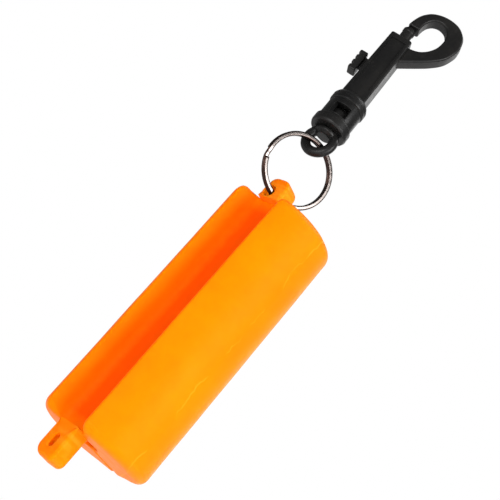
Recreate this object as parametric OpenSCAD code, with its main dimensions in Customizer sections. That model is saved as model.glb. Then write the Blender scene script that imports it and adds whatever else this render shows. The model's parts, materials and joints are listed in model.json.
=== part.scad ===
// Arrow puller: a two-lobed rubber grip on a split ring and a swivel bolt snap.
// It hangs from the snap's hook. +Z is up along the grip, -Y is the front, and the origin is
// the top of the hook's throat, where the hook hangs on a belt loop or a peg.

/* [Grip] */
// Length of the two lobes
grip_len = 100; // [90:1:115]
// Width of the oval section across the two lobes
grip_w = 41.4; // [38:0.2:44]
// Depth of the section, from the groove's lips to the slit
grip_d = 35.4; // [33:0.2:38]
// How far behind the middle of the spine the section is widest
widest_back = 9.8; // [9:0.1:11]
// Squareness of the section's back: 2 is an ellipse, more is boxier
back_square = 2.6; // [2:0.1:3]
// Squareness of the section's front, where both lobes slope down from the groove's lips
front_square = 1.8; // [1.6:0.1:2.2]
// Depth that the section's front would have from its widest line if it had no groove
front_d = 20.6; // [19:0.2:22]
// Radius of the lobes' end corners
end_r = 3.5; // [2:0.5:6]
// How far the groove side is turned from the front about the vertical axis
grip_turn = 45; // [0:5:90]

/* [Groove and slit] */
// Width of the groove at its lips
groove_lip_w = 18; // [16:0.2:19]
// Height of the lips above the middle of the spine
lip_h = 8.1; // [6:0.1:9]
// Height of the groove's floor above the middle of the spine
groove_floor = 0.5; // [0:0.5:2]
// Radius of the round channel behind the spine
channel_r = 4.6; // [4:0.1:5]
// Width of the slit from the round channel to the outside
slit_w = 1.8; // [1.6:0.1:2.4]
// Gap between the spine and each lobe, where the rubber bends
flex_gap = 1; // [0.8:0.1:1.2]

/* [Spine and tabs] */
// Width of the spine between the lobes
spine_w = 9.3; // [8:0.1:10]
// Thickness of the tabs
tab_t = 7.2; // [6:0.1:8]
// Length of the lower tab beyond the lobes
lower_tab = 12.4; // [11:0.1:14]
// Length of the upper tab beyond the lobes
upper_tab = 8.7; // [8:0.1:10]
// Radius of the tabs' outer corners
tab_r = 3.4; // [2:0.1:3.6]
// Width of the empty slot in the lower tab
slot_w = 1.8; // [1.2:0.1:2.4]
// Length of the slots along the grip
slot_len = 4.6; // [4:0.1:5]
// Width of the upper slot, held open by the ring
ring_slot_w = 3.8; // [3.4:0.1:3.8]
// Height of the upper slot's middle above the lobes
slot_up = 2.4; // [2.3:0.1:3]
// Depth of the lower slot's middle below the lobes
slot_down = 6.4; // [5:0.1:8]

/* [Split ring] */
// Outside diameter of the split ring
ring_od = 27.7; // [27.5:0.1:28]
// Radial width of the ring's wire
wire_w = 1.7; // [1.4:0.1:1.8]
// Thickness of each of the ring's two coils
coil_t = 1.05; // [0.9:0.05:1.1]
// How far the ring is turned from the front about the vertical axis
ring_turn = 19; // [10:1:25]

/* [Swivel] */
// How far the snap leans from the grip's axis
snap_lean = 1.8; // [0:0.1:4]
// How far the snap's hook is turned from the front
snap_turn = -14; // [-20:1:0]
// Turn of the eye's hole from the X axis
eye_turn = 60; // [55:1:65]
// Radius of the eye's loop at the middle of its rim
eye_r = 5; // [4.8:0.1:5.2]
// Radius of the eye's rim
eye_rim_r = 1.8; // [1.7:0.1:2]
// Radius of the swivel's stem
stem_r = 2.2; // [2:0.1:2.4]
// Radius of the swivel's head inside the collar
head_r = 4.1; // [3.8:0.1:4.2]
// Running clearance round the swivel and the gate bolt
run_gap = 0.3; // [0.25:0.05:0.4]

/* [Snap body] */
// Radius of the collar
collar_r = 6.6; // [6:0.1:6.8]
// Length of the collar
collar_len = 15.7; // [15:0.1:17]
// Width of the barrel where it leaves the collar
barrel_w0 = 9.6; // [9:0.1:10]
// Width of the barrel at its upper end
barrel_w1 = 8.6; // [8:0.1:9]
// Depth of the barrel, front to back
barrel_d = 8.4; // [8:0.1:9]
// Height of the barrel's upper end above the collar's lower face
barrel_top = 48.2; // [47:0.1:50]
// Thickness of the hook, front to back
hook_t = 5.2; // [5:0.1:6]

/* [Gate] */
// Radius of the gate bolt
bolt_r = 2.2; // [2:0.1:2.3]
// How far the bolt draws back to open the hook
gate_travel = 7; // [5:0.5:7]
// Length of the thumb knob
knob_len = 10; // [9:0.5:10]
// Height of the thumb knob's middle above the collar's lower face
knob_z = 31; // [30:0.1:32]
// Number of turns in the gate spring
spring_turns = 5; // [4:1:6]
// Wire radius of the gate spring
spring_wire_r = 0.28; // [0.2:0.02:0.3]

/* [Hidden] */

eps = 0.01;
curve_fn = 48;
orange = [0.98, 0.52, 0.05];
black = [0.09, 0.09, 0.09];
steel = [0.72, 0.70, 0.68];

// The ring hangs in the upper tab's slot, and the eye hangs on the ring. The ring and the snap sit
// a little to one side of the grip's axis, and the ring's wire clears the eye's rim by ring_lift.
ring_r = (ring_od - wire_w) / 2;
ring_z = grip_len + slot_up + ring_r;
eye_drop = 4.6;
ring_shift = -0.95;
snap_shift = -2.2;
ring_lift = 1.25;
snap_z = ring_z + ring_r - wire_w / 2 - ring_lift + eye_r - eye_rim_r + eye_drop;

// The throat's highest point, in the snap's own frame, becomes the origin.
throat = [7.9, 0, 63.1];

back_d = grip_d - lip_h - widest_back;
section_mid = lip_h - grip_d / 2;
oval_steps = 44;
channel_rise = 0.6;
channel_mid = channel_rise - tab_t / 2 - channel_r;
root_u = spine_w / 2 + flex_gap;
bar_edge_r = 1;
spine_len = lower_tab + grip_len + upper_tab;
lip_bevel = [1.3, 3.2];
cut_over = 1;

function turned(p, a) = [p[0] * cos(a) - p[1] * sin(a), p[0] * sin(a) + p[1] * cos(a)];
function leaned(p) = let(q = turned([p[0], p[1]], snap_turn), c = cos(snap_lean), s = sin(snap_lean))
    [q[0] * c - p[2] * s, q[1], q[0] * s + p[2] * c];
// A distance along the ring, seen from above.
function along_ring(d, z) = [d * cos(ring_turn), d * sin(ring_turn), z];
origin_at = along_ring(snap_shift, snap_z) + leaned(throat);

// A closed smooth curve through the given points.
function curve_point(a, b, c, d, t) = b + (c - a) * t / 2
    + (2 * a - 5 * b + 4 * c - d) * t * t / 2 + (3 * b - a - 3 * c + d) * t * t * t / 2;
function smooth(points, steps) = let(n = len(points))
    [for (i = [0:n - 1]) for (k = [0:steps - 1])
        let(before = points[(i + n - 1) % n], next = points[(i + 1) % n], after = points[(i + 2) % n])
        curve_point(before, points[i], next, after, k / steps)];

// The outside of the section, at an angle from the line across the lobes.
function signed_power(v, e) = sign(v) * pow(abs(v), e);
function oval_point(a) = let(front = a < 180, e = 2 / (front ? front_square : back_square))
    [grip_w / 2 * signed_power(cos(a), e),
     (front ? front_d : back_d) * signed_power(sin(a), e) - widest_back];

module in_place() translate(-origin_at) children();
module in_grip() in_place() rotate([0, 0, 180 - grip_turn]) children();
module in_snap() in_place()
    translate(along_ring(snap_shift, snap_z)) rotate([0, -snap_lean, 0]) children();
module in_snap_body() in_snap() rotate([0, 0, snap_turn]) children();

// A rectangle with round corners, drawn with true arcs.
module rounded(w, h, r) {
    square([w - 2 * r, h], center = true);
    square([w, h - 2 * r], center = true);
    for (x = [-1, 1], y = [-1, 1])
        translate([x * (w / 2 - r), y * (h / 2 - r)]) circle(r, $fn = curve_fn);
}

// ---- Rubber grip ----

module slot_hole(width, turn)
    rotate([0, 0, turn]) rotate([90, 0, 0])
        linear_extrude(height = 4 * tab_t, center = true)
            rounded(width, slot_len, width / 2 - eps);

module spine_bar() intersection() {
    translate([0, 0, spine_len / 2 - lower_tab]) rotate([90, 0, 0])
        linear_extrude(height = tab_t, center = true)
            rounded(spine_w, spine_len, tab_r);
    translate([0, 0, -lower_tab]) linear_extrude(height = spine_len)
        rounded(spine_w, tab_t, bar_edge_r);
}

module grip_spine() color(orange) in_grip() difference() {
    spine_bar();
    // the groove's floor lies lower than the tabs' faces
    translate([-spine_w, groove_floor, 0]) cube([2 * spine_w, tab_t, grip_len]);
    translate([0, 0, -slot_down]) slot_hole(slot_w, 0);
    translate([0, 0, grip_len + slot_up]) slot_hole(ring_slot_w, ring_turn + grip_turn - 90);
}

// One lobe's section: the oval, less the groove, the round channel and the slit.
module lobe_section() difference() {
    polygon([for (i = [0:oval_steps - 1]) oval_point(i * 360 / oval_steps)]);
    translate([-grip_w, section_mid - grip_d]) square([grip_w + slit_w / 2, 2 * grip_d]);
    polygon([[0, groove_floor], [root_u, groove_floor], [groove_lip_w / 2, lip_h] - lip_bevel,
             [(groove_lip_w + cut_over) / 2, lip_h + cut_over], [0, lip_h + cut_over]]);
    translate([0, -tab_t / 2 - cut_over]) square([root_u, groove_floor + tab_t / 2 + cut_over + eps]);
    translate([0, channel_mid]) circle(channel_r, $fn = curve_fn);
}

module lobe() intersection() {
    linear_extrude(height = grip_len) lobe_section();
    translate([0, section_mid, grip_len / 2]) rotate([90, 0, 0])
        linear_extrude(height = 2 * grip_d, center = true) rounded(grip_w, grip_len, end_r);
    translate([0, section_mid, grip_len / 2]) rotate([90, 0, 90])
        linear_extrude(height = 2 * grip_w, center = true) rounded(grip_d, grip_len, end_r);
}

module grip_lobe_right() color(orange) in_grip() mirror([1, 0, 0]) lobe();
module grip_lobe_left() color(orange) in_grip() lobe();

// ---- Split ring ----

coil_edge_r = 0.3;

module split_ring() color(steel) in_place()
    translate(along_ring(ring_shift, ring_z)) rotate([90, 0, ring_turn])
        rotate_extrude($fn = 96) for (side = [-1, 1])
            translate([ring_r, side * (coil_t - eps) / 2]) rounded(wire_w, coil_t, coil_edge_r);

// ---- Swivel eye: loop, shoulder, stem and captive head ----

head_z0 = 5.3;
head_h = 4.4;
shoulder_t = 1.2;
shoulder_r = 4.3;

module eye_loop() translate([0, 0, -eye_drop]) rotate([90, 0, eye_turn + 90])
    rotate_extrude($fn = 64) translate([eye_r, 0]) circle(eye_rim_r, $fn = curve_fn);

module swivel_eye() color(black) in_snap() {
    // the loop is cut flat where it meets the collar
    difference() {
        eye_loop();
        translate([0, 0, ring_od / 2 - run_gap]) cube(ring_od, center = true);
    }
    translate([0, 0, -run_gap - shoulder_t]) cylinder(r = shoulder_r, h = shoulder_t, $fn = curve_fn);
    translate([0, 0, -run_gap - eps]) cylinder(r = stem_r, h = head_z0 + run_gap + 2 * eps, $fn = curve_fn);
    translate([0, 0, head_z0]) cylinder(r = head_r, h = head_h, $fn = curve_fn);
}

// ---- Snap body: collar, barrel and hook in one moulding ----

window_w = 6.4;
window_h = 4.6;
window_z = 4.8;
chamber_z0 = 17.5;
bolt_z0 = 29.2;
bolt_tip = 55.2;
stem_h = 5;
stem_w = 2;
lower_band = 0.7;
upper_band = 0.4;
collar_edge = 0.2;
panel_margin = 1.5;
panel_depth = 0.4;
panel_z = [21, 45.6];
mouth_out = 6;
barrel_root = 2;
lower_band_z = [0.8, 3.4, 4.2];
upper_band_z = [11.6, 12, 14.2];

// Outlines of the hook, seen from the front: across and up from the collar's lower face.
hook_outer = [[-1.5, 55.4], [-0.9, 58.8], [0.3, 61.9], [2.8, 64.8], [6.4, 66.3], [10.2, 66.7],
              [14.1, 65.9], [17.1, 63.6], [18.9, 60.6], [19.3, 55], [17.6, 50.4], [14.3, 46.6],
              [10.6, 43.5], [6.9, 40.7], [3.4, 38.1], [-1, 36.4], [-2.6, 41], [-2.6, 49]];
hook_inner = [[3.2, 57], [3.7, 60.1], [5.4, 62.3], [7.9, 63.1], [10.4, 62.3], [12.2, 59.8],
              [12.9, 56.2], [12.4, 52.9], [10.9, 50], [8.8, 47.9], [6.6, 46.9], [4.4, 47.2],
              [3, 49.6], [2.8, 53.5]];

// A plain drum with a thick band at its mouth and a thin one near the barrel.
module collar_solid() rotate_extrude($fn = 64) polygon([
    [0, 0], [collar_r + collar_edge, 0],
    [collar_r + lower_band, lower_band_z[0]], [collar_r + lower_band, lower_band_z[1]],
    [collar_r, lower_band_z[2]], [collar_r, upper_band_z[0]],
    [collar_r + upper_band, upper_band_z[1]], [collar_r + upper_band, upper_band_z[2]],
    [collar_r - collar_edge, collar_len], [0, collar_len]]);

// The barrel's side outline tapers towards its upper end, and its front has a shallow panel.
module barrel_solid() difference() {
    rotate([90, 0, 0]) linear_extrude(height = barrel_d, center = true)
        polygon([[-barrel_w0 / 2, collar_len - barrel_root], [barrel_w0 / 2, collar_len - barrel_root],
                 [barrel_w1 / 2, barrel_top], [-barrel_w1 / 2, barrel_top]]);
    for (side = [-1, 1])
        translate([0, side * barrel_d / 2, (panel_z[0] + panel_z[1]) / 2])
            cube([barrel_w1 - 2 * panel_margin, 2 * panel_depth, panel_z[1] - panel_z[0]], center = true);
}

module hook_solid() rotate([90, 0, 0]) linear_extrude(height = hook_t, center = true) difference() {
    polygon(smooth(hook_outer, 6));
    polygon(smooth(hook_inner, 6));
    // the mouth, which the gate bolt closes
    translate([-mouth_out, barrel_top])
        square([mouth_out + bolt_r + cut_over, bolt_tip + run_gap - barrel_top]);
}

module snap_body() color(black) in_snap_body() difference() {
    union() {
        collar_solid();
        barrel_solid();
        hook_solid();
    }
    // swivel: stem hole, head chamber and the two windows that show the head
    translate([0, 0, -eps]) cylinder(r = stem_r + run_gap, h = collar_len / 2, $fn = curve_fn);
    translate([0, 0, head_z0 - run_gap])
        cylinder(r = head_r + run_gap, h = head_h + 2 * run_gap, $fn = curve_fn);
    translate([0, 0, window_z + window_h / 2])
        cube([window_w, 4 * collar_r, window_h], center = true);
    // bore for the gate bolt and its spring, and the slot for the thumb knob's stem
    translate([0, 0, chamber_z0]) cylinder(r = bolt_r + run_gap, h = barrel_top, $fn = curve_fn);
    translate([-barrel_w0, -stem_w / 2 - run_gap, bolt_z0 - gate_travel - run_gap])
        cube([barrel_w0, stem_w + 2 * run_gap, gate_travel + stem_h + 2 * run_gap]);
}

// ---- Gate bolt with its ribbed thumb knob, and its spring ----

knob_out = 8.8;
knob_t = 2.6;
knob_w = 4.4;
rib_count = 4;
rib_r = 0.8;

module gate_bolt() color(black) in_snap_body() {
    translate([0, 0, bolt_z0]) cylinder(r = bolt_r, h = bolt_tip - bolt_z0, $fn = curve_fn);
    translate([-knob_out + knob_t - eps, -stem_w / 2, bolt_z0])
        cube([knob_out - knob_t + 2 * eps, stem_w, stem_h]);
    translate([-knob_out + knob_t / 2, 0, knob_z]) cube([knob_t, knob_w, knob_len], center = true);
    for (i = [0:rib_count - 1])
        translate([-knob_out, 0, knob_z + (i - (rib_count - 1) / 2) * knob_len / rib_count])
            rotate([90, 0, 0]) cylinder(r = rib_r, h = knob_w, center = true, $fn = 24);
}

spring_gap = 0.05;
spring_r = bolt_r - spring_wire_r - 2 * spring_gap;
spring_z0 = chamber_z0 + spring_wire_r + spring_gap;
spring_z1 = bolt_z0 - spring_wire_r - spring_gap;
spring_sides = 8;
spring_steps = spring_turns * 20;

// A point on the helix's tube: step i along the helix, side k round the wire.
function helix_point(i, k) =
    let(turn = 360 * spring_turns * i / spring_steps, side = 360 * k / spring_sides,
        r = spring_r + spring_wire_r * cos(side),
        z = spring_z0 + (spring_z1 - spring_z0) * i / spring_steps + spring_wire_r * sin(side))
    [r * cos(turn), r * sin(turn), z];
function helix_quad(i, k) = let(n = (k + 1) % spring_sides, a = i * spring_sides, b = a + spring_sides)
    [a + k, b + k, b + n, a + n];

module gate_spring() color(steel) in_snap_body() polyhedron(
    points = [for (i = [0:spring_steps]) for (k = [0:spring_sides - 1]) helix_point(i, k)],
    faces = concat(
        [[for (k = [0:spring_sides - 1]) k]],
        [[for (k = [spring_sides - 1:-1:0]) spring_steps * spring_sides + k]],
        [for (i = [0:spring_steps - 1]) for (k = [0:spring_sides - 1]) helix_quad(i, k)]));

grip_spine();
grip_lobe_left();
grip_lobe_right();
split_ring();
swivel_eye();
snap_body();
gate_bolt();
gate_spring();
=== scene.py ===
import json
import math

import bmesh
import bpy
import numpy as np
from mathutils import Matrix, Vector, noise


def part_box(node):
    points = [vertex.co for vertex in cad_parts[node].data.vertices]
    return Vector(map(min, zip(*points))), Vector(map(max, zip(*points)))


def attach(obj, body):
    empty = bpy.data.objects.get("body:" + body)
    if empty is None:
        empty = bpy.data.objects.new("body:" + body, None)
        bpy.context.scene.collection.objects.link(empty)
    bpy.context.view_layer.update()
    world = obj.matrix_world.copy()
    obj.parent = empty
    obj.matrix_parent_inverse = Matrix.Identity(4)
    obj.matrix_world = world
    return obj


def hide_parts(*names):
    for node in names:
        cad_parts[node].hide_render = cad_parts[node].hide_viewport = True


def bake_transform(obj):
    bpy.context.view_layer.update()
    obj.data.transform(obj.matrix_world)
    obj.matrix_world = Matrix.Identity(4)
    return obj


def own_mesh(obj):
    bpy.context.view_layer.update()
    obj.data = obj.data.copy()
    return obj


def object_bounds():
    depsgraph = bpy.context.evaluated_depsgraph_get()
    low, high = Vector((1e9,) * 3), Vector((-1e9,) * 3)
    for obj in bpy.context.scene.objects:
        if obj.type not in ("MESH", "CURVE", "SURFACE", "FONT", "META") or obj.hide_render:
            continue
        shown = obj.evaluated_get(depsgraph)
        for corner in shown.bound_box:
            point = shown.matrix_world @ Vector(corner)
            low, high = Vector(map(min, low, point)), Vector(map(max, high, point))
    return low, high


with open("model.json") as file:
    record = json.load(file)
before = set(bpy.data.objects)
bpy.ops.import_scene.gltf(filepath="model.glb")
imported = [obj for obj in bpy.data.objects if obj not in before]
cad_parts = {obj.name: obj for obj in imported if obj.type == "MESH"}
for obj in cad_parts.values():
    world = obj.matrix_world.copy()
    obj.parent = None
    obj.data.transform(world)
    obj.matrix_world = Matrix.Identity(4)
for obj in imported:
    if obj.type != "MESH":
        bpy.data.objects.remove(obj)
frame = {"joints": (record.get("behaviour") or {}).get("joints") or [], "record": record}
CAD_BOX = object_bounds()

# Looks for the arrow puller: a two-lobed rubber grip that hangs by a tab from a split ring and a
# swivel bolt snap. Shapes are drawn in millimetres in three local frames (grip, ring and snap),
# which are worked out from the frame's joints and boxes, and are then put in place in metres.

MM = 0.001
JOINTS = {j["name"]: j for j in frame["joints"]}
MOUNTS = {m["name"]: m for m in frame["record"]["mounts"]}


# ---- Local frames ----

def local_frame(origin, x, y, z):
    """The matrix that puts millimetres along three directions into the row frame."""
    columns = [Vector(axis).normalized() * MM for axis in (x, y, z)] + [Vector(origin)]
    rows = [[column[i] for column in columns] for i in range(3)]
    return Matrix(rows + [[0, 0, 0, 1]])


UP = Vector((0, 0, 1))
ACROSS = (Vector(JOINTS["lobe_right_flex"]["pos_m"]) - Vector(JOINTS["lobe_left_flex"]["pos_m"])).normalized()
TO_GROOVE = ACROSS.cross(UP)
spine_low, spine_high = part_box("grip_spine")
lobe_low, lobe_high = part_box("grip_lobe_right")
GRIP_ORIGIN = Vector(((spine_low.x + spine_high.x) / 2, (spine_low.y + spine_high.y) / 2, lobe_low.z))
GRIP = local_frame(GRIP_ORIGIN, ACROSS, TO_GROOVE, UP)
GRIP_LEN = (lobe_high.z - lobe_low.z) / MM
LOWER_TAB = (lobe_low.z - spine_low.z) / MM
UPPER_TAB = (spine_high.z - lobe_high.z) / MM

RING_LINE = Vector(JOINTS["ring_swing"]["axis"])
ring_low, ring_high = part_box("split_ring")
RING_MIDDLE = (ring_low + ring_high) / 2
WIRE_W = 1.7
RING_R = (ring_high.z - ring_low.z) / 2 / MM - WIRE_W / 2
RING = local_frame(RING_MIDDLE, RING_LINE, UP.cross(RING_LINE), UP)

SNAP_AXIS = Vector(JOINTS["swivel_turn"]["axis"])
SNAP_ORIGIN = Vector(JOINTS["swivel_turn"]["pos_m"])
to_throat = -SNAP_ORIGIN
SNAP_SIDE = (to_throat - SNAP_AXIS * to_throat.dot(SNAP_AXIS)).normalized()
SNAP = local_frame(SNAP_ORIGIN, SNAP_SIDE, SNAP_AXIS.cross(SNAP_SIDE), SNAP_AXIS)

# The eye's hole keeps its own direction, this far round from the row's X axis.
EYE_TURN = math.radians(60)
lean_side = (Vector((1, 0, 0)) - SNAP_AXIS * SNAP_AXIS.x).normalized()
HOLE_AXIS = Matrix.Rotation(EYE_TURN, 4, SNAP_AXIS) @ lean_side
EYE = local_frame(SNAP_ORIGIN, HOLE_AXIS.cross(SNAP_AXIS), HOLE_AXIS, SNAP_AXIS)


# ---- Outlines and skins ----

def filleted(points, radii, steps=6):
    """A closed outline through the points, with each corner rounded by its radius."""
    out = []
    for i, (point, radius) in enumerate(zip(points, radii)):
        corner = np.array(point, float)
        if radius <= 0:
            out.append(corner)
            continue
        back = np.array(points[i - 1], float) - corner
        ahead = np.array(points[(i + 1) % len(points)], float) - corner
        back, ahead = back / np.linalg.norm(back), ahead / np.linalg.norm(ahead)
        half = math.acos(np.clip(back @ ahead, -1, 1)) / 2
        centre = corner + (back + ahead) / np.linalg.norm(back + ahead) * radius / math.sin(half)
        start = corner + back * radius / math.tan(half) - centre
        end = corner + ahead * radius / math.tan(half) - centre
        first = math.atan2(start[1], start[0])
        sweep = (math.atan2(end[1], end[0]) - first + math.pi) % (2 * math.pi) - math.pi
        for k in range(steps + 1):
            angle = first + sweep * k / steps
            out.append(centre + radius * np.array([math.cos(angle), math.sin(angle)]))
    return np.array(out)


def spaced(outline, longest, closed=True):
    """The outline with points added, so that no stretch is longer than the given length."""
    out = []
    last = len(outline) if closed else len(outline) - 1
    for i in range(last):
        a, b = outline[i], outline[(i + 1) % len(outline)]
        parts = max(1, math.ceil(np.linalg.norm(b - a) / longest))
        out += [a + (b - a) * k / parts for k in range(parts)]
    if not closed:
        out.append(outline[-1])
    return np.array(out)


def normals_of(outline):
    """Unit normals of a closed outline, pointing out of it."""
    ahead = np.roll(outline, -1, axis=0) - outline
    ahead = ahead / np.maximum(np.linalg.norm(ahead, axis=1, keepdims=True), 1e-9)
    along = ahead + np.roll(ahead, 1, axis=0)
    along = along / np.maximum(np.linalg.norm(along, axis=1, keepdims=True), 1e-9)
    x, y = outline[:, 0], outline[:, 1]
    turn = np.sign(np.sum(x * np.roll(y, -1) - np.roll(x, -1) * y))
    return turn * np.stack([along[:, 1], -along[:, 0]], axis=1)


def smooth_curve(points, steps):
    """An open Catmull-Rom curve through the points."""
    p = np.array(points, float)
    p = np.vstack([2 * p[0] - p[1], p, 2 * p[-1] - p[-2]])
    out = []
    for i in range(1, len(p) - 2):
        a, b, c, d = p[i - 1:i + 3]
        for k in range(steps):
            t = k / steps
            out.append(b + (c - a) * t / 2 + (2 * a - 5 * b + 4 * c - d) * t * t / 2
                       + (3 * b - a - 3 * c + d) * t ** 3 / 2)
    out.append(p[-2])
    return np.array(out)


def ease(t):
    t = np.clip(t, 0, 1)
    return t * t * (3 - 2 * t)


def skin(bm, loops, caps=True, closed=False):
    """Quads between loops that have the same number of points. Closed joins the last to the first."""
    rows = [[bm.verts.new(tuple(p)) for p in loop] for loop in loops]
    pairs = list(zip(rows, rows[1:]))
    if closed:
        pairs.append((rows[-1], rows[0]))
    for a, b in pairs:
        for i in range(len(a)):
            j = (i + 1) % len(a)
            bm.faces.new((a[i], a[j], b[j], b[i]))
    if caps and not closed:
        bm.faces.new(rows[0])
        bm.faces.new(rows[-1])
    return rows


def edge_steps(radius, count):
    """How far in and how far along the points of a quarter-round edge lie, from the side to the face."""
    angles = [math.pi / 2 * k / count for k in range(count + 1)]
    return [(radius * (1 - math.cos(a)), radius * math.sin(a)) for a in angles]


def plate(bm, outline, thickness, edge, at, count=3):
    """A flat plate with rounded edges. at(x, y, depth) gives a point in the local frame."""
    normals = normals_of(outline)
    half = thickness / 2
    steps = edge_steps(edge, count)
    low = [(inset, -(half - edge) - along) for inset, along in reversed(steps)]
    high = [(inset, half - edge + along) for inset, along in steps]
    loops = []
    for inset, depth in low + high:
        shrunk = outline - normals * inset
        loops.append([at(x, y, depth) for x, y in shrunk])
    skin(bm, loops)


def full_turn(sides):
    return [2 * math.pi * k / sides for k in range(sides)]


def circle(radius, height, angles):
    return [(radius * math.cos(a), radius * math.sin(a), height) for a in angles]


def lathe(bm, profile, sides):
    """A closed solid of revolution from (radius, height) points, which start and end on the axis."""
    loops = [circle(radius, height, full_turn(sides)) for radius, height in profile[1:-1]]
    rows = skin(bm, loops, caps=False)
    for row, height in ((rows[0], profile[0][1]), (rows[-1], profile[-1][1])):
        pole = bm.verts.new((0, 0, height))
        for i in range(sides):
            bm.faces.new((row[i], row[(i + 1) % sides], pole))


def rounded_profile(points, radii, steps=3):
    """A lathe profile from the axis to the axis, with its corners rounded."""
    return filleted(points, [0] + list(radii[1:-1]) + [0], steps)


def finished(name, bm, place, body, material, sharp_angle=None):
    """Puts the mesh in place as a smooth-shaded piece that rides on a body of the frame."""
    bmesh.ops.transform(bm, matrix=place, verts=bm.verts)
    bmesh.ops.recalc_face_normals(bm, faces=bm.faces)
    for face in bm.faces:
        face.smooth = True
    if sharp_angle is not None:
        for edge in bm.edges:
            if len(edge.link_faces) == 2 and edge.calc_face_angle() > sharp_angle:
                edge.smooth = False
    mesh = bpy.data.meshes.new(name)
    bm.to_mesh(mesh)
    bm.free()
    obj = bpy.data.objects.new(name, mesh)
    bpy.context.scene.collection.objects.link(obj)
    obj.data.materials.append(material)
    weighted = obj.modifiers.new("even shading", "WEIGHTED_NORMAL")
    weighted.keep_sharp = True
    if body:
        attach(obj, body)
    return obj


# ---- Materials ----

class Nodes:
    """A short way to build a material's node tree round one Principled shader."""

    def __init__(self, name):
        self.material = bpy.data.materials.new(name)
        self.material.use_nodes = True
        self.tree = self.material.node_tree
        self.tree.nodes.clear()
        self.shader = self.tree.nodes.new("ShaderNodeBsdfPrincipled")
        output = self.tree.nodes.new("ShaderNodeOutputMaterial")
        self.tree.links.new(self.shader.outputs["BSDF"], output.inputs["Surface"])
        self.place = self.tree.nodes.new("ShaderNodeTexCoord").outputs["Object"]

    def put(self, socket, value):
        if isinstance(value, bpy.types.NodeSocket):
            self.tree.links.new(value, socket)
        else:
            socket.default_value = value

    def shade(self, **values):
        for name, value in values.items():
            self.put(self.shader.inputs[name.replace("_", " ")], value)

    def attribute(self, name):
        """A number noted on each point of the mesh."""
        node = self.tree.nodes.new("ShaderNodeAttribute")
        node.attribute_name = name
        return node.outputs["Fac"]

    def math(self, operation, *values):
        node = self.tree.nodes.new("ShaderNodeMath")
        node.operation = operation
        for socket, value in zip(node.inputs, values):
            self.put(socket, value)
        return node.outputs[0]

    def stretch(self, scale):
        node = self.tree.nodes.new("ShaderNodeMapping")
        self.put(node.inputs["Vector"], self.place)
        node.inputs["Scale"].default_value = scale
        return node.outputs[0]

    def noise(self, scale, detail=3.0, roughness=0.5, vector=None):
        node = self.tree.nodes.new("ShaderNodeTexNoise")
        self.put(node.inputs["Vector"], vector or self.place)
        node.inputs["Scale"].default_value = scale
        node.inputs["Detail"].default_value = detail
        node.inputs["Roughness"].default_value = roughness
        return node.outputs["Fac"]

    def spread(self, value, low, high, to_low=0.0, to_high=1.0):
        node = self.tree.nodes.new("ShaderNodeMapRange")
        node.interpolation_type = "SMOOTHSTEP"
        for socket, v in zip(node.inputs, (value, low, high, to_low, to_high)):
            self.put(socket, v)
        return node.outputs[0]

    def mix(self, amount, a, b):
        """A mix of two colours, through the mix node's colour sockets."""
        node = self.tree.nodes.new("ShaderNodeMix")
        node.data_type = "RGBA"
        self.put(node.inputs["Factor"], amount)
        self.put(node.inputs[6], a)
        self.put(node.inputs[7], b)
        return node.outputs[2]

    def bump(self, height, strength, distance, normal=None):
        node = self.tree.nodes.new("ShaderNodeBump")
        node.inputs["Strength"].default_value = strength
        node.inputs["Distance"].default_value = distance
        self.put(node.inputs["Height"], height)
        if normal is not None:
            self.put(node.inputs["Normal"], normal)
        return node.outputs[0]


def orange_rubber():
    """Soft moulded rubber: warm mottling, painted shade that deepens the orange down in the groove, a faint
    wandering flow line and a fine matt skin.
    """
    n = Nodes("orange_rubber")
    mottle = n.noise(90, 4, 0.55)
    cloudy = n.noise(28, 2, 0.5)
    colour = n.mix(n.spread(mottle, 0.3, 0.7), (0.96, 0.17, 0.0, 1), (0.98, 0.19, 0.0, 1))
    colour = n.mix(n.spread(cloudy, 0.35, 0.7, 0.0, 0.5), colour, (1.0, 0.21, 0.0, 1))
    # painted shade: the groove's bottom is painted a deeper, redder orange, standing in for the shade and
    # reddish bounce light down in the groove
    colour = n.mix(n.attribute("painted_groove_shade"), colour, (0.90, 0.075, 0.0, 1))
    # the flow line runs along the grip and wanders from side to side
    wander = n.noise(75, 3, 0.6, vector=n.stretch((0, 0, 1)))
    bend = n.math("MULTIPLY", n.math("SUBTRACT", wander, 0.5), 0.008)
    offset = n.math("ABSOLUTE", n.math("ADD", n.attribute("from_line"), bend))
    line = n.spread(offset, 0.0, 0.0004, 1.0, 0.0)
    broken = n.spread(n.noise(90, 2, 0.5), 0.38, 0.5)
    line = n.math("MULTIPLY", line, broken)
    colour = n.mix(n.math("MULTIPLY", line, 0.22), colour, (1.0, 0.42, 0.03, 1))
    skin_grain = n.noise(2600, 3, 0.6)
    waves = n.noise(60, 2, 0.4)
    rough = n.spread(n.noise(300, 4, 0.6), 0.3, 0.7, 0.42, 0.54)
    normal = n.bump(waves, 0.25, 0.0006)
    normal = n.bump(line, 0.2, 0.0002, normal)
    normal = n.bump(skin_grain, 0.18, 0.00008, normal)
    n.shade(Base_Color=colour, Roughness=rough, Normal=normal)
    n.shade(Subsurface_Weight=0.3, Subsurface_Radius=(1.0, 0.2, 0.05), Subsurface_Scale=0.004)
    n.shade(Specular_IOR_Level=0.15, Specular_Tint=(1.0, 0.5, 0.1, 1))
    return n.material


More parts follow.
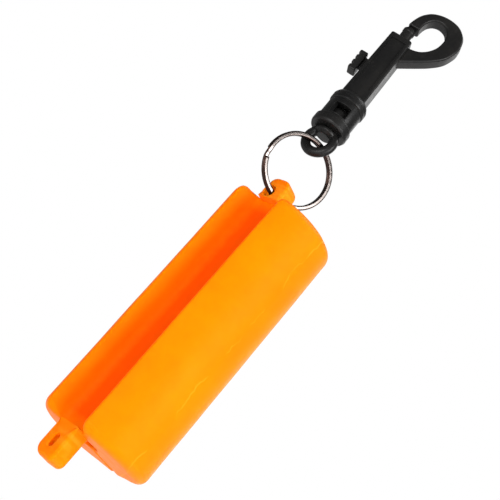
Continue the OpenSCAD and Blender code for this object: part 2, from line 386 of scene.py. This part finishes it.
def nickel_steel():
    """Bright nickel plate: fine scratches round the wire, and painted dark reflections, brownish black, on
    its inner and outer edges.
    """
    n = Nodes("nickel_steel")
    scratches = n.noise(500, 3, 0.6, vector=n.stretch((1, 1, 3)))
    reach = n.tree.nodes.new("ShaderNodeVectorMath")
    reach.operation = "DISTANCE"
    n.put(reach.inputs[0], n.place)
    n.put(reach.inputs[1], RING_MIDDLE)
    # painted reflection: the wire's inner and outer edges are painted near-black, standing in for the dark
    # surroundings they mirror; only a band along the wire's middle keeps the bright steel
    from_middle = n.math("ABSOLUTE", n.math("SUBTRACT", reach.outputs["Value"], RING_R * MM))
    ragged = n.math("MULTIPLY", n.math("SUBTRACT", n.noise(120, 2, 0.5), 0.5), 0.0004)
    painted_dark_edge = n.spread(n.math("ADD", from_middle, ragged), 0.0002, 0.00055)
    colour = n.mix(scratches, (0.25, 0.225, 0.21, 1), (0.19, 0.165, 0.155, 1))
    colour = n.mix(painted_dark_edge, colour, (0.035, 0.02, 0.016, 1))
    rough = n.spread(scratches, 0.35, 0.7, 0.14, 0.22)
    n.shade(Base_Color=colour, Roughness=rough, Metallic=1.0)
    n.shade(Normal=n.bump(scratches, 0.03, 0.00002))
    return n.material


def black_plastic():
    """Satin black moulded plastic: a fine moulded grain, faint sink marks and rubbed, shinier spots."""
    n = Nodes("black_plastic")
    grain = n.noise(2400, 3, 0.6)
    flow = n.noise(120, 3, 0.5, vector=n.stretch((1, 1, 0.35)))
    rubbed = n.spread(n.noise(260, 4, 0.6), 0.5, 0.72)
    colour = n.mix(n.spread(flow, 0.3, 0.75), (0.0045, 0.0045, 0.0045, 1), (0.009, 0.0085, 0.008, 1))
    colour = n.mix(n.math("MULTIPLY", rubbed, 0.4), colour, (0.016, 0.015, 0.014, 1))
    rough = n.math("SUBTRACT", n.spread(flow, 0.3, 0.7, 0.34, 0.42), n.math("MULTIPLY", rubbed, 0.08))
    normal = n.bump(flow, 0.12, 0.0003)
    normal = n.bump(grain, 0.16, 0.00006, normal)
    n.shade(Base_Color=colour, Roughness=rough, Normal=normal, Specular_IOR_Level=0.2)
    return n.material


def spring_wire():
    """Drawn spring wire, with draw lines along it."""
    n = Nodes("spring_wire")
    lines = n.noise(1500, 3, 0.6, vector=n.stretch((1, 1, 5)))
    colour = n.mix(n.spread(lines, 0.35, 0.65), (0.42, 0.42, 0.42, 1), (0.60, 0.59, 0.58, 1))
    n.shade(Base_Color=colour, Roughness=n.spread(lines, 0.3, 0.7, 0.22, 0.36), Metallic=1.0)
    n.shade(Normal=n.bump(lines, 0.15, 0.00004))
    return n.material


RUBBER = orange_rubber()
STEEL = nickel_steel()
PLASTIC = black_plastic()
SPRING = spring_wire()


# ---- Rubber grip ----

HALF_W = 20.7
WIDEST = -9.8
BACK_D = 17.5
BACK_SQUARE = 2.6
FRONT_D = 20.6
FRONT_SQUARE = 1.8
GROOVE_FLOOR = 0.5
WEB_BACK = -3.0
CHANNEL_R = 4.6
CHANNEL_MID = WEB_BACK - CHANNEL_R
SLIT_HALF = 0.9
LIP_U = 9.1
LIP_ROUND = 1.2
FLOOR_HALF = 5.2
FLOOR_R = 4.2
MOUTH_R = 0.9
POINT_GAP = 1.1
OUTER_END_R = 3.4
INNER_END_R = 0.7
END_STEPS = 8
MIDDLE_ROWS = 34
LOBE_MIDDLE = (9.5, -10.0)
WAVE = 0.10
WAVE_LEN = 17


def oval_w(u, side=1):
    """How far forward (side 1) or back (side -1) the outside of the section is at u."""
    depth, square = (FRONT_D, FRONT_SQUARE) if side > 0 else (BACK_D, BACK_SQUARE)
    return WIDEST + side * depth * (1 - abs(u / HALF_W) ** square) ** (1 / square)


def lobe_outline():
    """Half the grip's section, from the groove's floor round the outside to the slit and the channel.
    Gives the points, and for each how much of it belongs to the outside: 0 in the groove and the slit."""
    corners = [(0, GROOVE_FLOOR), (FLOOR_HALF, GROOVE_FLOOR), (LIP_U, oval_w(LIP_U))]
    radii = [0, FLOOR_R, 1.0]
    first = LIP_U + LIP_ROUND
    across = [first + (HALF_W - LIP_U - LIP_ROUND) * math.sin(math.pi / 2 * k / 22) for k in range(23)]
    outside = [(u, oval_w(u)) for u in across]
    across = [HALF_W * math.cos(math.pi / 2 * k / 30) for k in range(1, 30)]
    outside += [(u, oval_w(u, -1)) for u in across if u > 2.6]
    corners += outside
    radii += [0] * len(outside)
    channel_top = CHANNEL_MID - math.sqrt(CHANNEL_R ** 2 - SLIT_HALF ** 2)
    corners += [(SLIT_HALF, oval_w(SLIT_HALF, -1)), (SLIT_HALF, channel_top)]
    radii += [MOUTH_R, 0]
    start = math.atan2(channel_top - CHANNEL_MID, SLIT_HALF)
    arc = np.linspace(start, math.pi / 2, 19)[1:]
    corners += [(CHANNEL_R * math.cos(a), CHANNEL_MID + CHANNEL_R * math.sin(a)) for a in arc]
    radii += [0] * len(arc)
    outline = spaced(filleted(corners, radii), POINT_GAP)
    u, w = outline[:, 0], outline[:, 1]
    in_groove = (u < LIP_U - 0.4) & (w > GROOVE_FLOOR - 0.1)
    in_slit = (w < CHANNEL_MID + CHANNEL_R + 0.1) & (np.hypot(u, w - CHANNEL_MID) < CHANNEL_R + 0.05)
    in_slit |= u < SLIT_HALF + 0.05
    from_slit = np.hypot(u - SLIT_HALF, w - oval_w(SLIT_HALF, -1))
    depth = ease((oval_w(LIP_U) - w) / 7.5)
    outer = np.where(in_groove, 1 - depth, np.where(in_slit, 0.0, ease(from_slit / 7)))
    return outline, outer


# The flow line's distance in from the right lobe's side, and the reach of the painted shade that deepens the
# orange in the groove:
# full strength half-width, outer half-width, and the fades behind the floor and before the ends.
FLOW_LINE_IN = 7.1
GROOVE_SHADE_FULL = 2.0
GROOVE_SHADE_HALF = 9.5
GROOVE_SHADE_BACK = 1.5
GROOVE_SHADE_END = 5.0


def note_places(obj):
    """Notes how much painted groove shade each point gets from how deep in the groove it lies, and how far it
    is from the flow line.
    """
    inverse = GRIP.inverted()
    painted_groove_shade = obj.data.attributes.new("painted_groove_shade", "FLOAT", "POINT")
    from_line = obj.data.attributes.new("from_line", "FLOAT", "POINT")
    for i, vertex in enumerate(obj.data.vertices):
        u, w, z = inverse @ vertex.co
        # painted shade: full on the groove's floor, fading out towards the lips, behind the floor and near
        # the grip's ends
        inward = ease((GROOVE_SHADE_HALF - abs(u)) / (GROOVE_SHADE_HALF - GROOVE_SHADE_FULL))
        within = ease(min(z, GRIP_LEN - z) / GROOVE_SHADE_END)
        painted_groove_shade.data[i].value = inward * ease(w / GROOVE_SHADE_BACK + 1) * within
        from_line.data[i].value = vertex.co.x - lobe_high.x + FLOW_LINE_IN * MM
    return obj


def rubber_half(name, side):
    """One lobe with its half of the web: the section is skinned along the grip, with rounded ends."""
    outline, outer = lobe_outline()
    normals = normals_of(outline)
    on_seam = np.abs(outline[:, 0]) < 1e-6
    normals[on_seam & (outline[:, 1] > GROOVE_FLOOR - 1e-6)] = (0, 1)
    normals[on_seam & (outline[:, 1] < WEB_BACK + 1e-6)] = (0, -1)
    # the ends are rounded far more on the outside than along the groove, the slit and the channel,
    # and the outside draws in towards the lobe's middle
    radius = INNER_END_R + (OUTER_END_R - INNER_END_R) * outer
    to_middle = outline - np.array(LOBE_MIDDLE)
    to_middle /= np.linalg.norm(to_middle, axis=1, keepdims=True)
    drawn = to_middle * outer[:, None] + normals * (1 - outer[:, None])
    end_rows = []
    for k in range(END_STEPS + 1):
        angle = math.pi / 2 * (1 - k / END_STEPS)
        end_rows.append((radius * (1 - math.cos(angle)), radius * (1 - math.sin(angle))))
    middle = np.linspace(OUTER_END_R + 2, GRIP_LEN - OUTER_END_R - 2, MIDDLE_ROWS)
    rows = list(end_rows)
    rows += [(radius * 0, np.full(len(outline), z)) for z in middle]
    rows += [(inset, GRIP_LEN - height) for inset, height in reversed(end_rows)]
    bm = bmesh.new()
    loops = []
    for inset, height in rows:
        loop = []
        for (u, w), out, pull, d, z, o in zip(outline, normals, drawn, inset, height, outer):
            wave = WAVE * o * noise.noise(Vector((side * u, w, z)) / WAVE_LEN)
            u, w = np.array((u, w)) - pull * d + out * wave
            loop.append((side * u, w, z))
        loops.append(loop)
    skin(bm, loops)
    return note_places(finished(name, bm, GRIP, None, RUBBER, math.radians(75)))


def bend_with_lobe(obj):
    """Bakes the piece's placement into its mesh; the web is not made to bend here."""
    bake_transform(obj)


TAB_HALF_W = 4.65
TAB_HALF_T = 3.6
TAB_EDGE = 1.3
TAB_ROOT = 0.6
TAB_ROOT_R = 0.3
TAB_FADE = 1.2
HOLE_EDGE = 0.45


def ray_lengths(outline, centre, angles):
    """How far the outline is from the centre in each direction."""
    offset = spaced(outline, 0.15) - np.array(centre)
    around = np.arctan2(offset[:, 1], offset[:, 0])
    order = np.argsort(around)
    return np.interp(angles, around[order], np.linalg.norm(offset[order], axis=1), period=2 * math.pi)


def rubber_tab(name, root, tip, hole_z, hole_w, hole_len, shear, corner_r):
    """A thick tab with soft edges and a slot through it. Shear slants the slot across the tab."""
    angles = np.linspace(-math.pi, math.pi, 96, endpoint=False)
    corners = [(-TAB_HALF_W, root), (TAB_HALF_W, root), (TAB_HALF_W, tip), (-TAB_HALF_W, tip)]
    outer = filleted(corners, [TAB_ROOT_R, TAB_ROOT_R, corner_r[1], corner_r[0]], 10)
    half_w, half_l = hole_w / 2, hole_len / 2
    slot = filleted([(-half_w, -half_l), (half_w, -half_l), (half_w, half_l), (-half_w, half_l)],
                    [half_w * 0.98] * 4, 8)
    direction = np.stack([np.cos(angles), np.sin(angles)], axis=1)
    rim = np.array([0, hole_z]) + direction * ray_lengths(outer, (0, hole_z), angles)[:, None]
    hole = np.array([0, hole_z]) + direction * ray_lengths(slot, (0, 0), angles)[:, None]
    rim_out, hole_out = normals_of(rim), normals_of(hole)
    # the tab's edges are round, but it is cut square where it runs into the lobes
    inward = math.copysign(1, root - tip)
    soft = ease((root - rim[:, 1]) * inward / TAB_FADE)[:, None] * TAB_EDGE
    bm = bmesh.new()
    loops = []

    def put(points, depth, slant):
        depth = np.broadcast_to(depth, (len(points), 1))
        loops.append([(x + slant * shear * d, d, z) for (x, z), (d,) in zip(points, depth)])

    face = TAB_HALF_T
    for sign in (1, -1):
        inner = [(hole + hole_out * inset, sign * (face - HOLE_EDGE + along), 1)
                 for inset, along in edge_steps(HOLE_EDGE, 3)]
        outside = [(rim - rim_out * soft * inset, sign * (face - soft * (1 - along)), 0)
                   for inset, along in edge_steps(1, 5)]
        between = [((inner[-1][0] + outside[-1][0]) / 2, sign * face, 0.5)]
        for points, depth, slant in (inner + between + outside[::-1])[::sign]:
            put(points, depth, slant)
    skin(bm, loops, closed=True)
    return finished(name, bm, GRIP, "grip", RUBBER, math.radians(70))


SLOT_W = 1.8
SLOT_LEN = 4.6
RING_SLOT_W = 4.1
upper_slot = GRIP.inverted() @ Vector(JOINTS["grip_swing"]["pos_m"])
lower_slot = GRIP.inverted() @ Vector(MOUNTS["spare_tab_slot"]["pos_m"])
line_in_grip = GRIP.inverted().to_3x3() @ RING_LINE
SLOT_SLANT = line_in_grip.x / line_in_grip.y

half_right = rubber_half("grip_half_right", 1)
bend_with_lobe(half_right)
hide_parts("grip_lobe_right")
half_left = rubber_half("grip_half_left", -1)
bend_with_lobe(half_left)
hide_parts("grip_lobe_left")
lower_tab = rubber_tab("grip_tab_lower", TAB_ROOT, -LOWER_TAB, lower_slot.z, SLOT_W, SLOT_LEN, 0, (3.6, 2.4))
upper_tab = rubber_tab("grip_tab_upper", GRIP_LEN - TAB_ROOT, GRIP_LEN + UPPER_TAB, upper_slot.z,
                       RING_SLOT_W, SLOT_LEN, SLOT_SLANT, (2.8, 4.2))
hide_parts("grip_spine")
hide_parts("grip_spine")


# ---- Split ring: two turns of one flat wire that steps over itself ----

WIRE_T = 1.04
COIL_GAP = 0.02
WIRE_EDGES = [0.42, 0.48, 0.48, 0.42]
STEP_ANGLE = math.radians(16)
RING_START = math.radians(205)


def split_ring():
    """Two turns of wire, side by side, with one step between them and rounded ends."""
    section = filleted([(-WIRE_W / 2, -WIRE_T / 2), (WIRE_W / 2, -WIRE_T / 2),
                        (WIRE_W / 2, WIRE_T / 2), (-WIRE_W / 2, WIRE_T / 2)], WIRE_EDGES, 5)
    turn = 4 * math.pi - STEP_ANGLE
    count = 260
    out = normals_of(section)
    loops = []
    for k in range(-2, count + 3):
        share = min(max(k, 0), count) / count
        angle = turn * share
        step = ease((angle - (2 * math.pi - STEP_ANGLE)) / STEP_ANGLE)
        side = (WIRE_T + COIL_GAP) * (step - 0.5)
        past = max(-k, k - count, 0)
        inset = (0, 0.05, 0.16)[past]
        angle += math.copysign((0, 0.0035, 0.005)[past], k)
        shrunk = section - out * inset
        around = RING_START + angle
        loops.append([((RING_R + r) * math.cos(around), side + t, (RING_R + r) * math.sin(around))
                      for r, t in shrunk])
    bm = bmesh.new()
    skin(bm, loops)
    obj = finished("split_ring_wire", bm, RING, "ring", STEEL)
    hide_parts("split_ring")


split_ring()


# ---- Swivel eye ----

EYE_R = 5.0
EYE_RIM = 1.8
EYE_DROP = 4.6
HEAD_R = 4.1
STEM_R = 2.2
HEAD_Z = (5.4, 9.7)
EYE_VOXEL = 0.16


def fuse(obj, voxel, rounds):
    """Melts a piece's overlapping shells into one skin and softens the joins."""
    melt = obj.modifiers.new("melt", "REMESH")
    melt.mode = "VOXEL"
    melt.voxel_size = voxel
    melt.use_smooth_shade = True
    soften = obj.modifiers.new("soften", "SMOOTH")
    soften.factor = 0.5
    soften.iterations = rounds
    bpy.context.view_layer.update()
    evaluated = obj.evaluated_get(bpy.context.evaluated_depsgraph_get())
    mesh = bpy.data.meshes.new_from_object(evaluated)
    obj.modifiers.clear()
    obj.data = mesh


def eye_loop(bm, sides=72, around=20):
    loops = []
    for a in full_turn(sides):
        loop = []
        for b in full_turn(around):
            r = EYE_R + EYE_RIM * math.cos(b)
            loop.append((r * math.cos(a), EYE_RIM * math.sin(b), -EYE_DROP + r * math.sin(a)))
        loops.append(loop)
    skin(bm, loops, closed=True)


def swivel_eye():
    bm = bmesh.new()
    eye_loop(bm)
    neck = rounded_profile([(0, -2.6), (2.8, -2.6), (4.25, -1.6), (4.25, -0.35), (0, -0.35)],
                           [0, 0.6, 0.5, 0.35, 0])
    lathe(bm, neck, 64)
    loop = finished("swivel_eye_loop", bm, EYE, "swivel", PLASTIC)
    fuse(loop, EYE_VOXEL * MM, 4)
    bm = bmesh.new()
    head = rounded_profile([(0, -0.8), (STEM_R, -0.8), (STEM_R, HEAD_Z[0]), (HEAD_R, HEAD_Z[0]),
                            (HEAD_R, 8.2), (2.4, HEAD_Z[1]), (0, HEAD_Z[1])],
                           [0, 0.2, 0.3, 0.5, 1.2, 0.8, 0])
    lathe(bm, head, 56)
    pin = finished("swivel_head", bm, EYE, "swivel", PLASTIC)
    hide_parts("swivel_eye")
    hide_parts("swivel_eye")


swivel_eye()


# ---- Snap body: collar with windows, barrel and hook ----

COLLAR_R = 6.6
COLLAR_LEN = 15.7
WINDOW_Z = (4.8, 9.4)
WINDOW_HALF = 30.0
WINDOW_EDGE = 0.22
COLLAR_SIDES = 144
CHAMBER_R = 4.45
CHAMBER_Z = (5.0, 10.5)
STEM_HOLE_R = 2.5
BARREL_TOP = 48.2
BARREL_HALF = (4.8, 4.3)
BARREL_HALF_D = 4.2
BORE_R = 2.75
BORE_DEPTH = 11


def snap_collar():
    """A drum with two raised bands and fine grooves, and a window each side onto the swivel's head."""
    r = COLLAR_R
    z0, z1 = WINDOW_Z
    outside = rounded_profile(
        [(STEM_HOLE_R, 0), (r + 0.25, 0), (r + 0.7, 0.9), (r + 0.7, 3.5), (r + 0.15, 4.0), (r + 0.15, 4.35),
         (r - 0.15, 4.5), (r - 0.15, 4.7), (r + 0.05, 4.85), (r, z0), (r, z1), (r, 11.3), (r - 0.2, 11.45),
         (r - 0.2, 11.65), (r + 0.4, 11.9), (r + 0.4, 13.3), (r + 0.2, 13.4), (r + 0.2, 13.6),
         (r + 0.4, 13.7), (r + 0.4, 14.3), (r - 0.3, COLLAR_LEN), (0, COLLAR_LEN)],
        [0, 0.35, 0.4, 0.35, 0.1, 0.08, 0.05, 0.05, 0.05, 0, 0, 0.05, 0.05, 0.05, 0.25, 0.05, 0.04, 0.04,
         0.05, 0.3, 0.5, 0], 2)
    inside = [(CHAMBER_R, CHAMBER_Z[1]), (CHAMBER_R, z1), (CHAMBER_R, z0), (CHAMBER_R, CHAMBER_Z[0]),
              (STEM_HOLE_R, CHAMBER_Z[0])]
    bm = bmesh.new()
    angles = full_turn(COLLAR_SIDES)
    skin(bm, [circle(radius, height, angles) for radius, height in inside + list(outside[:-1])])

    def in_window(vert):
        a = math.degrees(math.atan2(vert.co.x, abs(vert.co.y)))
        return abs(a) < WINDOW_HALF + 0.1 and z0 - 0.01 < vert.co.z < z1 + 0.01

    holes = [f for f in bm.faces if len(f.verts) == 4 and all(in_window(v) for v in f.verts)
             and max(v.co.z for v in f.verts) - min(v.co.z for v in f.verts) > 1]
    bmesh.ops.delete(bm, geom=holes, context="FACES_ONLY")
    loose = [e for e in bm.edges if not e.link_faces]
    bmesh.ops.delete(bm, geom=loose, context="EDGES")
    rims = []
    for sign in (1, -1):
        edges = [e for e in bm.edges if e.is_boundary and sign * e.verts[0].co.y > 0]
        bmesh.ops.bridge_loops(bm, edges=edges)
        rims += [e for e in edges if math.hypot(*e.verts[0].co.xy) > CHAMBER_R + 1]
    bmesh.ops.bevel(bm, geom=rims, offset=WINDOW_EDGE, segments=2, profile=0.5, affect="EDGES")
    return finished("snap_collar", bm, SNAP, "snap", PLASTIC, math.radians(50))


PANEL_Z = (21.0, 45.6)
PANEL_DEPTH = 0.45
PANEL_MARGIN = 1.35
PANEL_STEP = 0.12
BARREL_EDGE = 0.75
BARREL_TOP_EDGE = 0.5
SLOT_Z = (21.9, 34.8)
STEM_SLOT_HALF = 1.3
STEM_SLOT_DEPTH = 2.2


def barrel_section(z, inset=0.0):
    """The barrel's section: a tapered box, with a shallow panel front and back and the stem's slot."""
    share = (z - COLLAR_LEN) / (BARREL_TOP - COLLAR_LEN)
    a = BARREL_HALF[0] + (BARREL_HALF[1] - BARREL_HALF[0]) * share - inset
    b = BARREL_HALF_D - inset
    panel = PANEL_DEPTH * float(PANEL_Z[0] <= z <= PANEL_Z[1])
    slot = STEM_SLOT_DEPTH * float(SLOT_Z[0] <= z <= SLOT_Z[1])
    m, s = a - PANEL_MARGIN, PANEL_STEP
    h = STEM_SLOT_HALF
    points = [(-a, -b), (-m, -b), (-m + s, -b + panel), (m - s, -b + panel), (m, -b), (a, -b),
              (a, b), (m, b), (m - s, b - panel), (-m + s, b - panel), (-m, b), (-a, b),
              (-a, h + 0.05), (-a + slot, h), (-a + slot, -h), (-a, -h - 0.05)]
    radii = [BARREL_EDGE if i in (0, 5, 6, 11) else 0 for i in range(len(points))]
    return filleted(points, radii, 4)


def snap_barrel():
    heights = [COLLAR_LEN - 1.5, COLLAR_LEN + 1]
    for low, high in (SLOT_Z, PANEL_Z):
        heights += [low - PANEL_STEP, low, high, high + PANEL_STEP]
    heights += [26.0, 30.0, 38.0, 42.0, 45.0]
    loops = [[(x, y, z) for x, y in barrel_section(z)] for z in sorted(heights)]
    for inset, along in edge_steps(BARREL_TOP_EDGE, 4):
        z = BARREL_TOP - BARREL_TOP_EDGE + along
        loops.append([(x, y, z) for x, y in barrel_section(z, inset)])
    angles = np.arctan2(*barrel_section(BARREL_TOP).T[::-1])
    for radius, z in ((BORE_R + 0.3, BARREL_TOP), (BORE_R + 0.08, BARREL_TOP - 0.08),
                      (BORE_R, BARREL_TOP - 0.3), (BORE_R, BARREL_TOP - BORE_DEPTH)):
        loops.append(circle(radius, z, angles))
    bm = bmesh.new()
    skin(bm, loops)
    return finished("snap_barrel", bm, SNAP, "snap", PLASTIC, math.radians(28))


HOOK_OUTER = [(0.5, 36.0), (3.4, 38.1), (6.9, 40.7), (10.6, 43.5), (14.3, 46.6), (17.6, 50.4),
              (19.3, 55.0), (19.4, 58.0), (18.7, 61.2), (17.0, 63.7), (14.2, 65.8), (10.4, 66.7),
              (6.4, 66.4), (2.8, 64.8), (0.3, 61.9), (-0.9, 58.9), (-1.5, 56.0)]
HOOK_INNER = [(0.5, 45.5), (2.6, 46.0), (4.7, 46.5), (6.7, 46.9), (8.8, 47.9), (10.9, 50.0),
              (12.4, 52.9), (12.9, 56.2), (12.7, 58.5), (11.9, 60.6), (10.4, 62.3), (7.9, 63.1),
              (5.6, 62.5), (4.1, 60.9), (3.4, 59.0), (3.15, 57.3), (3.1, 56.0)]
HOOK_HALF_T = 2.6
HOOK_EDGE = 0.85


def snap_hook():
    """A flat hook with soft edges, skinned between an outer and an inner line that run side by side."""
    outer, inner = smooth_curve(HOOK_OUTER, 6), smooth_curve(HOOK_INNER, 6)
    loops = []
    count = len(outer)
    for k in range(count + 3):
        i = min(k, count - 1)
        past = max(k - count + 1, 0)
        inset, drop = ((0, 0), (0.1, 0.28), (0.3, 0.4), (0.7, 0.42))[past]
        across = np.linalg.norm(inner[i] - outer[i])
        way = (inner[i] - outer[i]) / across
        half = HOOK_HALF_T - inset
        section = filleted([(inset, -half), (across - inset, -half), (across - inset, half), (inset, half)],
                           [HOOK_EDGE, HOOK_EDGE, HOOK_EDGE, HOOK_EDGE], 5)
        loops.append([(outer[i][0] + way[0] * s, y, outer[i][1] + way[1] * s - drop) for s, y in section])
    bm = bmesh.new()
    skin(bm, loops)
    return finished("snap_hook", bm, SNAP, "snap", PLASTIC, math.radians(60))


for piece in (snap_collar(), snap_barrel(), snap_hook()):
    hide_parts("snap_body")


# ---- Gate bolt, thumb knob and spring ----

BOLT_R = 2.2
BOLT_Z = (29.2, 55.2)
STEM_H = 5.0
STEM_HALF = 1.0
KNOB_OUT = 8.8
KNOB_IN = 6.2
KNOB_Z = (26.0, 36.0)
KNOB_W = 4.4
RIB_COUNT = 4


def knob_outline():
    """The knob seen from the front: ribs on its outer side and softly rounded ends."""
    pitch = (KNOB_Z[1] - KNOB_Z[0]) / RIB_COUNT
    points = [(-KNOB_IN, KNOB_Z[0] + 0.3), (-KNOB_IN, KNOB_Z[1] - 0.3)]
    radii = [0.5, 0.5]
    for i in reversed(range(RIB_COUNT)):
        z = KNOB_Z[0] + pitch * (i + 0.5)
        points += [(-KNOB_OUT - 0.55, z + pitch * 0.34), (-KNOB_OUT - 0.55, z - pitch * 0.34)]
        radii += [0.5, 0.5]
        if i:
            points += [(-KNOB_OUT + 0.55, z - pitch * 0.42), (-KNOB_OUT + 0.55, z - pitch * 0.58)]
            radii += [0.12, 0.12]
    return filleted(points, radii, 4)


def gate_bolt():
    bm = bmesh.new()
    r = BOLT_R
    shaft = rounded_profile([(0, BOLT_Z[0]), (r, BOLT_Z[0]), (r, 52.9), (r + 0.22, 53.2), (r + 0.22, 54.3),
                             (r - 0.3, 54.6), (r - 0.3, BOLT_Z[1]), (0, BOLT_Z[1])],
                            [0, 0.3, 0.1, 0.12, 0.12, 0.1, 0.2, 0])
    lathe(bm, shaft, 48)
    stem = filleted([(-KNOB_IN - 1, BOLT_Z[0]), (-KNOB_IN - 1, BOLT_Z[0] + STEM_H),
                     (-1.0, BOLT_Z[0] + STEM_H), (-1.0, BOLT_Z[0])], [0.2] * 4, 2)
    plate(bm, stem, 2 * STEM_HALF, 0.2, lambda x, z, y: (x, y, z), 2)
    plate(bm, knob_outline(), KNOB_W, 0.45, lambda x, z, y: (x, y, z), 4)
    obj = finished("gate_bolt_knob", bm, SNAP, "gate", PLASTIC, math.radians(55))
    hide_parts("gate_bolt")


SPRING_TURNS = 5
SPRING_WIRE = 0.26
SPRING_R = 1.82
SPRING_SEAT = 17.5
CLOSED_TURNS = 0.75


def gate_spring():
    """A compression spring with closed end coils."""
    low, high = SPRING_SEAT + SPRING_WIRE, BOLT_Z[0] - SPRING_WIRE
    count = SPRING_TURNS * 36
    loops = []
    for k in range(count + 1):
        turn = SPRING_TURNS * k / count
        open_turns = SPRING_TURNS - 2 * CLOSED_TURNS
        lift = np.clip((turn - CLOSED_TURNS) / open_turns, 0, 1)
        closed = 2 * SPRING_WIRE * (min(turn, CLOSED_TURNS) + max(turn - SPRING_TURNS + CLOSED_TURNS, 0))
        z = low + closed + (high - low - 3 * SPRING_WIRE) * lift
        a = 2 * math.pi * turn
        loops.append([((SPRING_R + SPRING_WIRE * math.cos(b)) * math.cos(a),
                       (SPRING_R + SPRING_WIRE * math.cos(b)) * math.sin(a), z + SPRING_WIRE * math.sin(b))
                      for b in np.linspace(0, 2 * math.pi, 10, endpoint=False)])
    bm = bmesh.new()
    skin(bm, loops)
    obj = finished("gate_spring_coil", bm, SNAP, "snap", SPRING)
    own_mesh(obj)
    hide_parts("gate_spring")


gate_bolt()
gate_spring()


# ---- Stage, light and camera ----

STAGE_HALF = 4.0
STAGE_BELOW = 0.16


def pale_stage():
    """A plain pale floor, well below the hanging piece."""
    n = Nodes("pale_floor")
    tone = n.noise(3, 2, 0.5)
    n.shade(Base_Color=n.mix(tone, (0.86, 0.86, 0.86, 1), (0.90, 0.90, 0.90, 1)), Roughness=0.8)
    n.shade(Emission_Color=(1, 1, 1, 1), Emission_Strength=0.3)
    bm = bmesh.new()
    z = CAD_BOX[0].z - STAGE_BELOW
    signs = ((-1, -1), (1, -1), (1, 1), (-1, 1))
    bm.faces.new([bm.verts.new((x * STAGE_HALF, y * STAGE_HALF, z)) for x, y in signs])
    mesh = bpy.data.meshes.new("floor")
    bm.to_mesh(mesh)
    bm.free()
    floor = bpy.data.objects.new("floor", mesh)
    bpy.context.scene.collection.objects.link(floor)
    mesh.materials.append(n.material)


CENTRE = (CAD_BOX[0] + CAD_BOX[1]) / 2


def soft_light(name, offset, size, power):
    """A rectangular soft box that faces the middle of the object."""
    data = bpy.data.lights.new(name, "AREA")
    data.shape = "RECTANGLE"
    data.size, data.size_y = size
    data.energy = power
    light = bpy.data.objects.new(name, data)
    bpy.context.scene.collection.objects.link(light)
    light.location = CENTRE + Vector(offset)
    light.rotation_mode = "QUATERNION"
    light.rotation_quaternion = (-Vector(offset)).to_track_quat("-Z", "Y")


BACKDROP = 1.0
GLOW = 0.26


def white_world():
    """A plain white backdrop for the camera, and a much weaker white glow on the object."""
    world = bpy.data.worlds.new("white_studio")
    world.use_nodes = True
    tree = world.node_tree
    backdrop = tree.nodes["Background"]
    backdrop.inputs["Strength"].default_value = BACKDROP
    backdrop.inputs["Color"].default_value = (1, 1, 1, 1)
    glow = tree.nodes.new("ShaderNodeBackground")
    glow.inputs["Strength"].default_value = GLOW
    glow.inputs["Color"].default_value = (1, 1, 1, 1)
    seen = tree.nodes.new("ShaderNodeLightPath").outputs["Is Camera Ray"]
    choose = tree.nodes.new("ShaderNodeMixShader")
    tree.links.new(seen, choose.inputs["Fac"])
    tree.links.new(glow.outputs[0], choose.inputs[1])
    tree.links.new(backdrop.outputs[0], choose.inputs[2])
    tree.links.new(choose.outputs[0], tree.nodes["World Output"].inputs["Surface"])
    bpy.context.scene.world = world


def studio():
    white_world()
    soft_light("key", (0.60, -0.62, 0.10), (0.40, 0.60), 8.2)
    soft_light("front", (-0.34, -0.76, -0.22), (0.45, 0.45), 6.6)
    soft_light("backdrop", (0.55, 1.00, 0.36), (1.10, 1.10), 6.0)
    soft_light("top", (0.30, -0.10, 0.75), (0.35, 0.35), 2.5)
    pale_stage()


# The photograph looks up at the hanging piece, and the picture is rolled.
LOOK_UP = math.radians(20.5)
ROLL = math.radians(41)
DISTANCE = 0.3349
LENS = 72
AIM = (4.66, 0.08, 81.94)


def photo_camera():
    data = bpy.data.cameras.new("photo_camera")
    data.lens = LENS
    data.sensor_width = 36
    camera = bpy.data.objects.new("photo_camera", data)
    bpy.context.scene.collection.objects.link(camera)
    aim = GRIP_ORIGIN + Vector(AIM) * MM
    ahead = Vector((0, math.cos(LOOK_UP), math.sin(LOOK_UP)))
    camera.location = aim - ahead * DISTANCE
    level = ahead.to_track_quat("-Z", "Y")
    camera.rotation_mode = "QUATERNION"
    camera.rotation_quaternion = level @ Matrix.Rotation(ROLL, 3, "Z").to_quaternion()
    data.clip_start, data.clip_end = 0.01, 20
    bpy.context.scene.camera = camera


studio()
photo_camera()
bpy.context.scene.view_settings.view_transform = "Standard"
